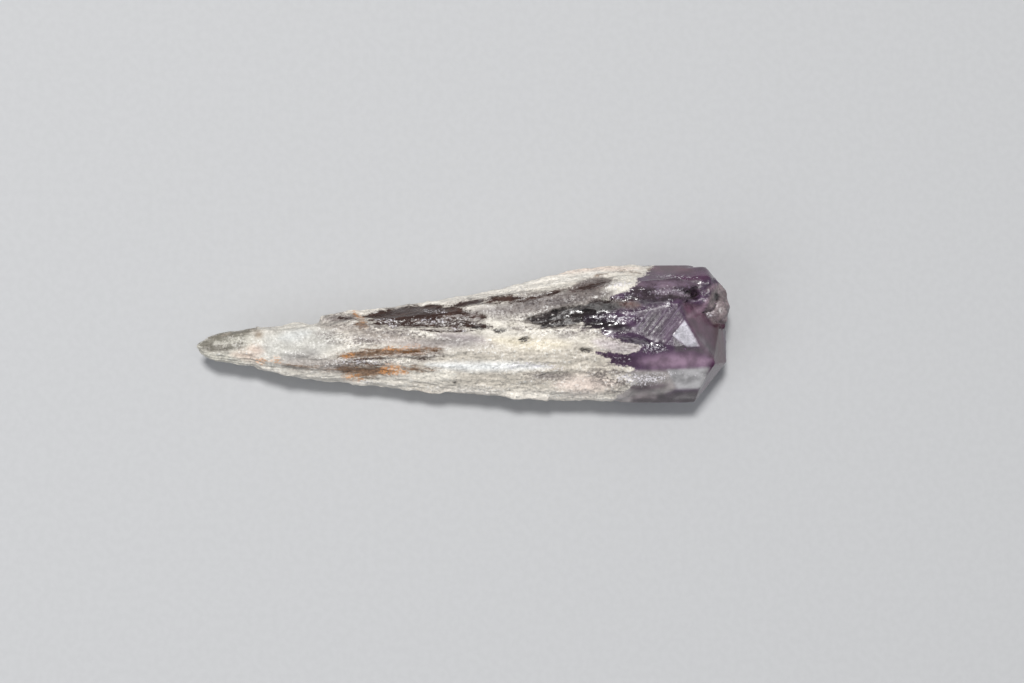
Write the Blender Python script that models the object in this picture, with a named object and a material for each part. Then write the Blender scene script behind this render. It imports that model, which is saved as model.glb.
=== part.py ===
"""Amethyst wand: one natural amethyst point, lying on one of its prism faces.

The crystal runs along X, from its broken root at -X to its violet head with the end faces
at +X. It rests on the XY plane, and the origin is under the middle of its box. Sizes are
in millimetres until the last step, which turns them into metres.
"""

import math
from dataclasses import dataclass

import bmesh
import bpy
from mathutils import Matrix, Vector, noise

# Driving sizes, in millimetres
MM = 0.001
HEAD_X = 46.0
CRUST_THICKNESS = 0.24
CRUST_RIM = (-0.4, 0.9)
WINDOW_RIM = 0.55
ROOT_RELIEF = 0.25

# How finely the surface is built, and how many triangles stay
GRID_DEPTH = 8
GRID_FILL = 0.97
SIMPLIFY_SCALE = 10.0
TRIANGLE_BUDGET = 9300
SMALLEST_EDGE = 0.02
MEND_PASSES = 6


@dataclass(frozen=True)
class Section:
    """A cross-section of the form: its place along X and the box it fills."""

    x: float
    low: float
    high: float
    bottom: float
    top: float


# From the root to past the end faces: -Y edge, +Y edge, underside and top
SECTIONS = (
    Section(-43.5, -3.0, -2.5, 6.9, 7.7),
    Section(-42.5, -3.9, -1.9, 6.1, 8.4),
    Section(-40.9, -5.0, -1.1, 5.3, 9.2),
    Section(-37.8, -5.3, -0.4, 4.6, 9.9),
    Section(-34.4, -5.9, 0.1, 4.0, 10.4),
    Section(-32.3, -6.7, 0.3, 3.6, 10.7),
    Section(-28.5, -7.5, 0.8, 2.9, 11.0),
    Section(-23.5, -8.1, 1.4, 2.0, 11.7),
    Section(-16.5, -8.6, 3.6, 0.9, 12.5),
    Section(-10.8, -9.1, 4.4, 0.3, 13.0),
    Section(-4.3, -9.6, 5.3, -0.2, 13.6),
    Section(2.3, -10.3, 6.5, -0.4, 14.1),
    Section(8.0, -10.7, 8.0, -0.4, 14.6),
    Section(13.8, -11.0, 9.4, -0.4, 15.1),
    Section(22.0, -11.3, 10.8, -0.4, 15.8),
    Section(30.4, -11.4, 11.3, -0.4, 16.6),
    Section(HEAD_X, -11.2, 11.6, -0.4, 18.0),
)
AXIS_Y = tuple((s.x, 0.5 * (s.low + s.high)) for s in SECTIONS)
AXIS_Z = tuple((s.x, 0.5 * (s.bottom + s.top)) for s in SECTIONS)

# The hexagonal habit with its bevelled top: corners as parts of a section's box
HABIT = (
    (0.000, 0.470),
    (0.250, 0.000),
    (0.740, 0.000),
    (1.000, 0.510),
    (0.865, 0.885),
    (0.700, 0.925),
    (0.386, 0.945),
    (0.338, 0.897),
    (0.224, 0.822),
    (0.088, 0.678),
)


@dataclass(frozen=True)
class Plane:
    """A flat crystal face: a point on it and its outward direction."""

    point: tuple
    normal: tuple


END_FACES = (
    # The large end face, its steep rim and the two corner faces beside it
    Plane((34.7, 1.9, 15.8), (0.645, 0.350, 0.680)),
    Plane((43.0, 0.0, 6.8), (0.890, 0.070, 0.450)),
    Plane((39.1, -5.9, 14.6), (0.749, -0.590, 0.300)),
    Plane((39.5, 10.3, 10.0), (0.720, 0.530, 0.450)),
    # The end faces of the underside
    Plane((43.3, -1.0, 6.8), (0.660, -0.200, -0.720)),
    Plane((42.9, 3.0, 7.4), (0.600, 0.380, -0.700)),
    Plane((40.6, -7.2, 7.4), (0.620, -0.550, -0.560)),
    # The bright three-cornered face on top and the grey one beside it
    Plane((34.5, 1.5, 15.8), (0.041, -0.050, 1.000)),
    Plane((34.9, -2.6, 15.55), (0.149, -0.294, 1.000)),
)


@dataclass(frozen=True)
class Crystal:
    """A smaller crystal grown into the large one: a six-sided bar that ends in a point.

    The taper is the part of its radius left at the root, where it ends in a stub.
    """

    root: tuple
    tip: tuple
    radius: float
    point: float
    roll: float = 0.0
    flat: float = 1.0
    taper: float = 0.6
    stub: float = 1.0


CRYSTALS = (
    # The violet crystal along the +Y flank of the head
    Crystal((8.0, 5.0, 9.0), (42.2, 7.0, 10.2), 4.3, 2.9),
    # Rods beside each other along the upper shoulder, which end in points on the head
    Crystal((3.0, 4.6, 11.4), (37.9, 7.4, 15.1), 1.70, 4.6, roll=34.0),
    Crystal((12.0, 3.6, 12.2), (36.0, 5.4, 15.0), 1.30, 2.4, roll=18.0),
    Crystal((-9.0, 2.6, 10.4), (24.5, 6.0, 14.1), 1.30, 4.0, roll=40.0),
    # Laths along the -Y edge: their ends are the ragged lip and the step in the outline
    Crystal((-11.0, -8.3, 6.7), (-3.2, -9.2, 6.9), 1.00, 1.2, flat=0.6, taper=0.8),
    Crystal((-2.0, -8.8, 7.2), (14.0, -10.6, 7.9), 0.95, 0.6, flat=0.9),
    # The rod along the +Y edge: its broken start is the notch in the outline
    Crystal((-23.4, 1.3, 7.2), (-4.0, 3.4, 8.2), 1.50, 5.0, taper=0.95, stub=0.25),
    # The thin flange along the +Y side of the root
    Crystal((-41.0, -2.6, 6.4), (-30.4, -0.6, 6.7), 2.00, 3.4, flat=0.3, taper=0.5),
    # The knob on the +Y corner of the head and the small crystals on it
    Crystal((31.0, 3.8, 7.6), (43.6, 4.5, 7.8), 3.80, 1.3, roll=-15.0, taper=0.9),
    Crystal((33.0, 2.8, 11.2), (40.8, 5.7, 12.3), 1.70, 1.6, roll=40.0),
    Crystal((36.5, 6.0, 10.4), (42.3, 7.7, 10.2), 1.70, 1.4, roll=10.0),
    Crystal((37.0, 3.4, 10.4), (42.8, 2.6, 10.0), 1.35, 1.3, roll=25.0),
    # Rods along the sides of the underside
    Crystal((-22.0, -6.3, 5.0), (25.0, -8.6, 3.9), 1.90, 6.0, roll=15.0, flat=0.8),
    Crystal((-14.0, 2.0, 4.2), (33.0, 8.6, 4.2), 1.95, 5.0, roll=-12.0, flat=0.85),
    Crystal((4.0, -6.0, 2.1), (33.5, -7.0, 2.2), 1.60, 4.6, roll=30.0, flat=0.8),
)


@dataclass(frozen=True)
class Hollow:
    """A pointed hole between crystals: its mouth, its bottom and its radii there."""

    mouth: tuple
    bottom: tuple
    radius: float
    point: float = 0.15


HOLLOWS = (
    Hollow((37.0, 5.8, 17.4), (36.5, 6.1, 11.4), 2.50),
    Hollow((34.6, 6.0, 17.6), (35.4, 6.1, 13.4), 1.60),
    Hollow((41.9, 6.1, 15.0), (40.9, 5.7, 10.8), 1.30),
)


@dataclass(frozen=True)
class Streak:
    """A long hollow in the crust, where the inside shows: its line, half width and depth."""

    line: tuple
    width: float
    depth: float
    side: int


TOP, UNDER = 1, -1
STREAKS = (
    # The large brown window of the upper side, and its two tongues
    Streak(((-16.4, 2.6), (-12.8, 2.2), (-8.0, 3.0), (-3.3, 2.8), (1.2, 1.7)), 1.55, 0.55, TOP),
    Streak(((-14.6, 0.9), (-8.0, 1.2), (-1.0, 0.3), (1.6, 0.0)), 0.75, 0.50, TOP),
    # The black streak that opens towards the violet head
    Streak(((7.5, 0.6), (11.9, 1.8), (15.9, 2.9), (20.7, 3.7), (27.1, 4.4)), 0.85, 0.55, TOP),
    Streak(((7.2, 0.2), (11.9, 0.6), (16.7, 1.2), (21.0, 1.0)), 0.60, 0.45, TOP),
    # The brown lens on the upper shoulder
    Streak(((16.6, 6.6), (19.1, 7.3), (22.4, 8.3)), 1.00, 0.40, TOP),
    # Rusty grooves of the lower side
    Streak(((-20.2, -4.2), (-16.0, -3.9), (-11.2, -3.5), (-6.4, -3.2)), 0.42, 0.36, TOP),
    Streak(((-18.6, -4.9), (-12.6, -4.7)), 0.36, 0.32, TOP),
    Streak(((-20.0, -7.2), (-16.8, -7.3), (-13.4, -7.0)), 0.60, 0.32, TOP),
    # Pits
    Streak(((7.2, -1.9), (9.2, -1.8)), 0.34, 0.60, TOP),
    Streak(((3.8, -0.1), (5.0, 0.0)), 0.36, 0.50, TOP),
    Streak(((18.0, -3.1), (19.2, -3.3)), 0.30, 0.55, TOP),
    Streak(((12.4, -7.3), (15.2, -7.4)), 0.40, 0.30, TOP),
    # Windows of the underside
    Streak(((-18.0, -1.6), (-11.0, -1.2), (-3.0, -0.4)), 1.30, 0.50, UNDER),
    Streak(((8.0, 6.4), (16.0, 7.6), (22.0, 8.2)), 1.00, 0.50, UNDER),
    Streak(((-6.0, -8.2), (4.0, -8.9), (12.0, -9.3)), 0.70, 0.45, UNDER),
    Streak(((16.0, -9.2), (25.0, -9.6)), 0.80, 0.45, UNDER),
)

# Where the crust ends and the clear head begins, as X against Y: top side, then underside
CRUST_END_TOP = (
    (-12.0, 25.5), (-9.0, 27.5), (-6.8, 29.2), (-5.6, 25.0), (-4.8, 20.5), (-3.4, 24.0),
    (-2.2, 30.0), (-1.2, 26.5), (0.0, 21.5), (0.8, 26.0), (1.8, 27.5), (2.6, 22.5), (3.4, 17.5),
    (4.3, 19.5), (5.2, 26.0), (6.8, 24.5), (8.6, 27.6), (12.0, 29.5),
)
CRUST_END_UNDER = (
    (-12.0, 25.0), (-8.0, 22.0), (-5.0, 28.0), (-1.5, 25.0), (2.0, 29.0), (5.0, 24.5),
    (8.5, 28.0), (12.0, 26.5),
)

# The root is clear quartz, smooth between these two places along X
SMOOTH_ROOT = (-41.0, -34.0)


@dataclass(frozen=True)
class Grain:
    """A noise that shapes the crust: its height, its pace along X and across, its start."""

    height: float
    along: float
    across: float
    start: float = 0.0


# Ribs are read around the form, so that they draw together as it tapers
WIDE_RIBS = Grain(0.34, 0.045, 2.6)
FINE_RIBS = Grain(0.27, 0.09, 7.5, start=7.0)
LUMPS = Grain(0.26, 0.28, 0.5)
CRUMBS = Grain(0.13, 0.75, 1.3, start=4.0)
RAGGED_RIM = Grain(0.45, 0.5, 1.4, start=9.0)
WANDER = Grain(0.9, 0.12, 0.6)

# The finish of the whole stone, as seen from a step away
BODY_COLOUR = (0.42, 0.33, 0.40, 1.0)
BODY_ROUGHNESS = 0.35


def smooth_step(low: float, high: float, value: float) -> float:
    """Rises smoothly from 0 at low to 1 at high."""
    t = min(max((value - low) / (high - low), 0.0), 1.0)
    return t * t * (3.0 - 2.0 * t)


def read_curve(curve: tuple, value: float) -> float:
    """Reads a line of (place, height) pairs between its points."""
    for (x0, y0), (x1, y1) in zip(curve, curve[1:]):
        if value <= x1:
            part = min(max((value - x0) / (x1 - x0), 0.0), 1.0)
            return y0 + (y1 - y0) * part
    return curve[-1][1]


def distance_to_line(line: tuple, x: float, y: float) -> float:
    """The shortest way, seen from above, from a point to a line of straight runs."""
    point = Vector((x, y))
    nearest = math.inf
    for start, end in zip(line, line[1:]):
        a, b = Vector(start), Vector(end)
        along = (point - a).dot(b - a) / (b - a).length_squared
        foot = a.lerp(b, min(max(along, 0.0), 1.0))
        nearest = min(nearest, (point - foot).length)
    return nearest


def read_grain(grain: Grain, x: float, across: Vector) -> float:
    """Reads a noise at a place along X and a place across."""
    u, v = across * grain.across
    return grain.height * noise.noise(Vector((x * grain.along + grain.start, u, v)))


def outline(section: Section) -> list:
    """The corners of a cross-section."""
    width = section.high - section.low
    height = section.top - section.bottom
    return [
        Vector((section.x, section.low + u * width, section.bottom + v * height))
        for u, v in HABIT
    ]


def tapered_form() -> bmesh.types.BMesh:
    """The large crystal: one ring of corners, extruded from section to section."""
    bm = bmesh.new()
    ring = [bm.verts.new(corner) for corner in outline(SECTIONS[0])]
    end = bm.faces.new(ring)
    start = end.copy()
    for section in SECTIONS[1:]:
        end = bmesh.ops.extrude_discrete_faces(bm, faces=[end])["faces"][0]
        for vert, corner in zip(end.verts, outline(section)):
            vert.co = corner
    start.normal_flip()
    bmesh.ops.remove_doubles(bm, verts=bm.verts, dist=0.001)
    bmesh.ops.recalc_face_normals(bm, faces=bm.faces)
    return bm


def cut_flat(bm: bmesh.types.BMesh, plane: Plane) -> None:
    """Takes away what lies outside a plane and closes the cut with one flat face."""
    geometry = list(bm.verts) + list(bm.edges) + list(bm.faces)
    result = bmesh.ops.bisect_plane(
        bm, geom=geometry, dist=0.0005, plane_co=plane.point, plane_no=plane.normal,
        clear_outer=True,
    )
    rim = [item for item in result["geom_cut"] if isinstance(item, bmesh.types.BMEdge)]
    bmesh.ops.holes_fill(bm, edges=rim)


def add_object(name: str, bm: bmesh.types.BMesh) -> bpy.types.Object:
    """Turns a bmesh into an object in the scene."""
    mesh = bpy.data.meshes.new(name)
    bm.to_mesh(mesh)
    bm.free()
    item = bpy.data.objects.new(name, mesh)
    bpy.context.scene.collection.objects.link(item)
    return item


def bar_along(bm: bmesh.types.BMesh, start: Vector, end: Vector, shape: Matrix) -> None:
    """Lays a solid made along Z, as long as the way from start to end, on that way."""
    aim = (end - start).to_track_quat("Z", "X").to_matrix().to_4x4()
    place = Matrix.Translation(start.lerp(end, 0.5))
    bmesh.ops.transform(bm, verts=bm.verts, matrix=place @ aim @ shape)


def grown_crystal(crystal: Crystal) -> bpy.types.Object:
    """A six-sided bar that widens from its root and ends in a six-sided point."""
    root, tip = Vector(crystal.root), Vector(crystal.tip)
    shoulder = tip + (root - tip).normalized() * crystal.point
    bm = bmesh.new()
    bmesh.ops.create_cone(
        bm, cap_ends=True, segments=6, radius1=crystal.radius * crystal.taper,
        radius2=crystal.radius, depth=(shoulder - root).length,
    )
    for face in [face for face in bm.faces if len(face.verts) == 6]:
        height = crystal.point if face.normal.z > 0.0 else crystal.radius * crystal.stub
        bmesh.ops.poke(bm, faces=[face], offset=height)
    flatten = Matrix.Diagonal((crystal.flat, 1.0, 1.0, 1.0))
    roll = Matrix.Rotation(math.radians(crystal.roll), 4, "Z")
    bar_along(bm, root, shoulder, flatten @ roll)
    return add_object("grown_crystal", bm)


def hollow_cutter(hollow: Hollow) -> bpy.types.Object:
    """A five-sided spike that cuts a pointed hole between crystals."""
    mouth, bottom = Vector(hollow.mouth), Vector(hollow.bottom)
    bm = bmesh.new()
    bmesh.ops.create_cone(
        bm, cap_ends=True, segments=5, radius1=hollow.radius, radius2=hollow.point,
        depth=(bottom - mouth).length,
    )
    bar_along(bm, mouth, bottom, Matrix.Identity(4))
    return add_object("hollow_cutter", bm)


def evaluate(item: bpy.types.Object, tools: list) -> bmesh.types.BMesh:
    """Reads an object with its modifiers applied, and takes it and its tools away."""
    bpy.context.view_layer.update()
    evaluated = item.evaluated_get(bpy.context.evaluated_depsgraph_get())
    bm = bmesh.new()
    bm.from_mesh(evaluated.to_mesh())
    evaluated.to_mesh_clear()
    for used in [item, *tools]:
        bpy.data.objects.remove(used)
    bmesh.ops.dissolve_degenerate(bm, edges=bm.edges, dist=SMALLEST_EDGE)
    return bm


def join_solids(bm: bmesh.types.BMesh, tools: list, operation: str) -> bmesh.types.BMesh:
    """Joins solids to the form, or cuts them out of it."""
    form = add_object("form", bm)
    for tool in tools:
        tool.hide_render = True
        tool.display_type = "WIRE"
        modifier = form.modifiers.new(tool.name, "BOOLEAN")
        modifier.object = tool
        modifier.operation = operation
        modifier.solver = "EXACT"
    return evaluate(form, tools)


def mend(bm: bmesh.types.BMesh) -> None:
    """Opens the few edges where two walls touch and closes each opening with faces."""
    for _ in range(MEND_PASSES):
        corners = {vert for edge in bm.edges if not edge.is_manifold for vert in edge.verts}
        corners |= {vert for vert in bm.verts if not vert.is_manifold}
        if not corners:
            return
        bmesh.ops.delete(bm, geom=list(corners), context="VERTS")
        bmesh.ops.holes_fill(bm, edges=[edge for edge in bm.edges if edge.is_boundary])
        bmesh.ops.triangulate(bm, faces=[face for face in bm.faces if len(face.verts) > 4])


def even_out(bm: bmesh.types.BMesh) -> bmesh.types.BMesh:
    """Rebuilds the surface from small even faces, with its sharp edges kept."""
    form = add_object("form", bm)
    modifier = form.modifiers.new("even", "REMESH")
    modifier.mode = "SHARP"
    modifier.octree_depth = GRID_DEPTH
    modifier.scale = GRID_FILL
    modifier.sharpness = 1.0
    modifier.use_remove_disconnected = True
    even = evaluate(form, [])
    mend(even)
    return even


def crust_end(x: float, y: float, z: float) -> float:
    """How far inside the crust a point is, in millimetres along X; below 0 on the head."""
    middle = read_curve(AXIS_Z, x)
    top = read_curve(CRUST_END_TOP, y)
    under = read_curve(CRUST_END_UNDER, y)
    return under + (top - under) * smooth_step(middle - 2.0, middle + 2.0, z) - x


def window_depth(point: Vector, normal: Vector) -> float:
    """How deep the crust is broken open at a point."""
    x, y = point.xy
    ragged = read_grain(RAGGED_RIM, x, point.yz)
    depth = 0.0
    for streak in STREAKS:
        if normal.z * streak.side > 0.1:
            inside = streak.width + ragged - distance_to_line(streak.line, x, y)
            depth = max(depth, streak.depth * smooth_step(-WINDOW_RIM, WINDOW_RIM, inside))
    return depth


def relief(point: Vector, normal: Vector) -> float:
    """How far the crust stands off the plain form at a point."""
    x = point.x
    middle = Vector((read_curve(AXIS_Y, x), read_curve(AXIS_Z, x)))
    around = (point.yz - middle).normalized()
    ribs = read_grain(WIDE_RIBS, x, around) + read_grain(FINE_RIBS, x, around)
    lumps = read_grain(LUMPS, x, point.yz) + read_grain(CRUMBS, x, point.yz)
    rough = ROOT_RELIEF + (1.0 - ROOT_RELIEF) * smooth_step(*SMOOTH_ROOT, x)
    return rough * (ribs + lumps) - window_depth(point, normal)


def roughen(bm: bmesh.types.BMesh) -> None:
    """Gives the crusted part its relief and makes its ledges and ends ragged."""
    bm.normal_update()
    places = []
    for vert in bm.verts:
        crust = smooth_step(*CRUST_RIM, crust_end(*vert.co))
        rise = relief(vert.co, vert.normal) + CRUST_THICKNESS * (crust - 0.5)
        wander = read_grain(WANDER, vert.co.x, vert.co.yz)
        wander *= smooth_step(SECTIONS[0].x, SMOOTH_ROOT[0], vert.co.x)
        places.append(vert.co + crust * (vert.normal * rise + Vector((wander, 0.0, 0.0))))
    for vert, place in zip(bm.verts, places):
        vert.co = place


def simplify(bm: bmesh.types.BMesh) -> bmesh.types.BMesh:
    """Lowers the triangle count to the budget where the surface is flat enough."""
    bmesh.ops.triangulate(bm, faces=bm.faces)
    ratio = min(1.0, TRIANGLE_BUDGET / len(bm.faces))
    bmesh.ops.scale(bm, verts=bm.verts, vec=(SIMPLIFY_SCALE,) * 3)
    form = add_object("form", bm)
    modifier = form.modifiers.new("simplify", "DECIMATE")
    modifier.ratio = ratio
    modifier.use_collapse_triangulate = True
    simple = evaluate(form, [])
    bmesh.ops.scale(simple, verts=simple.verts, vec=(1.0 / SIMPLIFY_SCALE,) * 3)
    mend(simple)
    return simple


def settle(bm: bmesh.types.BMesh) -> None:
    """Cuts the resting face flat at the height of the floor and centres the form on it."""
    cut_flat(bm, Plane((0.0, 0.0, 0.0), (0.0, 0.0, -1.0)))
    bmesh.ops.triangulate(bm, faces=bm.faces)
    xs = [vert.co.x for vert in bm.verts]
    ys = [vert.co.y for vert in bm.verts]
    shift = Vector((-0.5 * (min(xs) + max(xs)), -0.5 * (min(ys) + max(ys)), 0.0))
    bmesh.ops.translate(bm, verts=bm.verts, vec=shift)
    bmesh.ops.scale(bm, verts=bm.verts, vec=(MM, MM, MM))


def stone_material() -> bpy.types.Material:
    """Violet and cream stone, with the gloss of broken quartz."""
    material = bpy.data.materials.new("amethyst")
    material.use_nodes = True
    shader = material.node_tree.nodes["Principled BSDF"]
    shader.inputs["Base Color"].default_value = BODY_COLOUR
    shader.inputs["Roughness"].default_value = BODY_ROUGHNESS
    shader.inputs["Metallic"].default_value = 0.0
    return material


def build() -> bpy.types.Object:
    """Grows the crystal, roughens its crust and lays it down."""
    bm = tapered_form()
    for plane in END_FACES:
        cut_flat(bm, plane)
    bm = join_solids(bm, [grown_crystal(crystal) for crystal in CRYSTALS], "UNION")
    bm = join_solids(bm, [hollow_cutter(hollow) for hollow in HOLLOWS], "DIFFERENCE")
    bm = even_out(bm)
    roughen(bm)
    bm = simplify(bm)
    settle(bm)
    stone = add_object("amethyst_wand", bm)
    stone.data.materials.append(stone_material())
    return stone


for old in list(bpy.data.objects):
    bpy.data.objects.remove(old, do_unlink=True)
build()
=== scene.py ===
"""Looks of the amethyst wand: a natural amethyst point with a cream crust and a violet head.

The crystal group of the frame is taken over as it stands. Its surface is divided finely, its
crust gets ribs, ledges, crumbs and lumps, its head keeps flat faces with growth lines, and
one stone finish tells crust, smoky windows, iron stains and clear quartz apart.

Sizes in the tables below are in millimetres, in the frame's axes: X runs from the root to
the head, Y across it and Z up.
"""

import functools
import logging
import math
from dataclasses import dataclass, field
from enum import Enum

import bmesh
import bpy
import numpy as np
from mathutils import Matrix, Vector, noise


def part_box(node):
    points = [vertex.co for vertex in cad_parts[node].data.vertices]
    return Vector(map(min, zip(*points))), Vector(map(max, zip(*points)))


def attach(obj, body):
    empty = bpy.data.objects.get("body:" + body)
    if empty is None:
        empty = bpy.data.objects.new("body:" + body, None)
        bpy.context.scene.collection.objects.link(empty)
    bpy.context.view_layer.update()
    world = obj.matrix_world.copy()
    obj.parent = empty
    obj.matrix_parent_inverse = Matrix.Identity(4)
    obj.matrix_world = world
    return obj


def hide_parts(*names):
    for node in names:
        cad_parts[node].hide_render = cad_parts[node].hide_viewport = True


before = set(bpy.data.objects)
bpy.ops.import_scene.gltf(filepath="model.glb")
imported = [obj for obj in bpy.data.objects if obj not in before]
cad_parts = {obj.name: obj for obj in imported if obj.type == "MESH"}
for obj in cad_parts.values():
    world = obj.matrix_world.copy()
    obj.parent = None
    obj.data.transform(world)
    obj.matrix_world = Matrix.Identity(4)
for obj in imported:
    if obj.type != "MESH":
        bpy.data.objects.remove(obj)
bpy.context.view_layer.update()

log = logging.getLogger("amethyst_wand")
Socket = bpy.types.NodeSocket

MM = 0.001
BODY = "root"
NODE = "amethyst_wand"

# How far areas seen from above reach past the stone's widest line
OVERLAP = 0.6
# How fast a line widens behind its ends, and half the length of a spot's line
TAPER = 0.7
SPOT_LINE = 0.05
# How deep inside or outside a marking a place counts at most
DEPTH_LIMIT = 3.0
# Between which places along X the knob's lumps set in
KNOB_LUMPS = (36.8, 39.0)
# How the growth lines are turned from X, in degrees
STRIAE_ANGLE = 51.0


def linear(red: int, green: int, blue: int) -> tuple[float, float, float]:
    """Turns a colour as seen on a screen into the light values that shaders take.

    Args:
        red, green, blue: The screen colour, from 0 to 255.

    Returns:
        The three light values.
    """
    def channel(value: int) -> float:
        """One light value."""
        part = value / 255.0
        return part / 12.92 if part <= 0.04045 else ((part + 0.055) / 1.055) ** 2.4

    return channel(red), channel(green), channel(blue)


class Side(Enum):
    """Which half of the stone a marking lies on."""

    TOP = 1
    UNDER = -1
    ROUND = 0


class Mark(Enum):
    """The kinds of marking, each kept on the mesh as a depth in millimetres."""

    HEAD = "head"
    SMOKY = "smoky"
    BLACK = "black"
    RUST = "rust"
    OCHRE = "ochre"
    FROST = "frost"
    ROOT = "clear_root"
    STRIAE = "striae"
    THIN = "thin_crust"
    KNOB = "knob"
    FLANK = "flank"
    SATIN = "satin_face"
    RODS = "rods"
    SUGAR = "sugary_crust"
    MATT = "matt_band"


@dataclass(frozen=True)
class Patch:
    """A marking seen from above: a line with a half width, or a closed area without one.

    A line narrows towards both its ends unless it is blunt. A half width below 0 is a line
    that only ragged edges reach.
    """

    points: tuple
    half_width: float = 0.0
    side: Side = Side.TOP
    blunt: bool = False

    def depth(self, places: np.ndarray, height: np.ndarray) -> np.ndarray:
        """Measures how far inside the marking each place is.

        Args:
            places: X and Y of each place.
            height: How far each place is above the stone's middle.

        Returns:
            The depth in millimetres, below 0 outside.
        """
        if self.half_width == 0.0:
            inside, overlap = area_depth(places, self.points), OVERLAP
        else:
            distance, share = line_distance(places, self.points)
            width = 1.0 if self.blunt else np.clip(4.0 * share * (1.0 - share), 0.0, 1.0) ** TAPER
            inside, overlap = self.half_width * width - distance, -OVERLAP
        if self.side is Side.ROUND:
            return inside
        return np.minimum(inside, height * self.side.value + overlap)


def spot(x: float, y: float, radius: float, side: Side = Side.TOP) -> Patch:
    """A small round marking."""
    return Patch(((x - SPOT_LINE, y), (x + SPOT_LINE, y)), radius, side, blunt=True)


@dataclass(frozen=True)
class Tone:
    """A patch of the stone's own colour as seen on a screen, with how softly it ends."""

    patch: Patch
    screen: tuple
    blur: float

    def colour(self) -> np.ndarray:
        """The colour in light values."""
        return np.array(linear(*self.screen))


def line_distance(places: np.ndarray, line: tuple) -> tuple[np.ndarray, np.ndarray]:
    """Finds the nearest point of a line of straight runs for each place.

    Args:
        places: X and Y of each place.
        line: The line's points.

    Returns:
        The distance to the nearest point, and its share of the line's length from 0 to 1.
    """
    nearest = np.full(len(places), np.inf)
    share = np.zeros(len(places))
    lengths = [math.dist(start, end) for start, end in zip(line, line[1:])]
    passed = 0.0
    for start, end, length in zip(line, line[1:], lengths):
        a, run = np.array(start), np.array(end) - np.array(start)
        part = np.clip((places - a) @ run / (run @ run), 0.0, 1.0)
        distance = np.linalg.norm(places - a - part[:, None] * run, axis=1)
        closer = distance < nearest
        nearest = np.where(closer, distance, nearest)
        share = np.where(closer, (passed + part * length) / sum(lengths), share)
        passed += length
    return nearest, share


def area_depth(places: np.ndarray, corners: tuple) -> np.ndarray:
    """Measures how far inside a closed area each place is.

    Args:
        places: X and Y of each place.
        corners: The area's corners.

    Returns:
        The distance to the area's outline, below 0 outside.
    """
    closed = (*corners, corners[0])
    inside = np.zeros(len(places), dtype=bool)
    x, y = places[:, 0], places[:, 1]
    for (x0, y0), (x1, y1) in zip(closed, closed[1:]):
        if y0 != y1:
            crossing = (y0 > y) != (y1 > y)
            inside ^= crossing & (x < (x1 - x0) * (y - y0) / (y1 - y0) + x0)
    distance = line_distance(places, closed)[0]
    return np.where(inside, distance, -distance)


def smooth_step(low: float, high: float, values: np.ndarray) -> np.ndarray:
    """Rises smoothly from 0 at low to 1 at high, for each value."""
    part = np.clip((values - low) / (high - low), 0.0, 1.0)
    return part * part * (3.0 - 2.0 * part)


# The stone's middle line, as Y and Z against X
MIDDLE_X = (-43.5, -40.9, -34.4, -28.5, -23.5, -16.5, -10.8, -4.3, 2.3, 8, 13.8, 22, 30.4, 46)
MIDDLE_Y = (-2.8, -3, -2.9, -3.3, -3.3, -2.5, -2.3, -2.1, -1.9, -1.4, -0.8, -0.2, 0, 0.2)
MIDDLE_Z = (7.3, 7.2, 7.2, 7, 6.8, 6.7, 6.6, 6.7, 6.8, 7.1, 7.4, 7.7, 8.1, 8.8)

# Where the crust is missing and the clear head begins
HEAD_TOP = Patch((
    (31.2, 12.8), (30.4, 10.8), (29, 9.5), (27.4, 8.4), (26.8, 7.4), (25.4, 6.3), (22.5, 5.3),
    (19.5, 4.6), (17, 3.5), (15.2, 2.3), (17.5, 1.9), (18.2, 0.8), (21, 0.2), (22, -1), (24, -1.6),
    (25.6, -2.2), (27.6, -2.6), (27.2, -3.2), (25.6, -3.7), (23.6, -3.8), (20.4, -3.6),
    (21.8, -4.5), (24.2, -5.5), (26.6, -6.2), (25.4, -7), (27.4, -8.2), (26, -9.2), (24.4, -10.2),
    (25, -12.8), (50, -12.8), (50, 12.8),
))
HEAD_UNDER = Patch((
    (31.2, 12.8), (27, 9), (29.5, 6), (25, 3.5), (28.5, 1), (24, -1.5), (27.5, -4.5), (22.5, -7),
    (26, -9), (24, -12.8), (50, -12.8), (50, 12.8),
), side=Side.UNDER)

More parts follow.
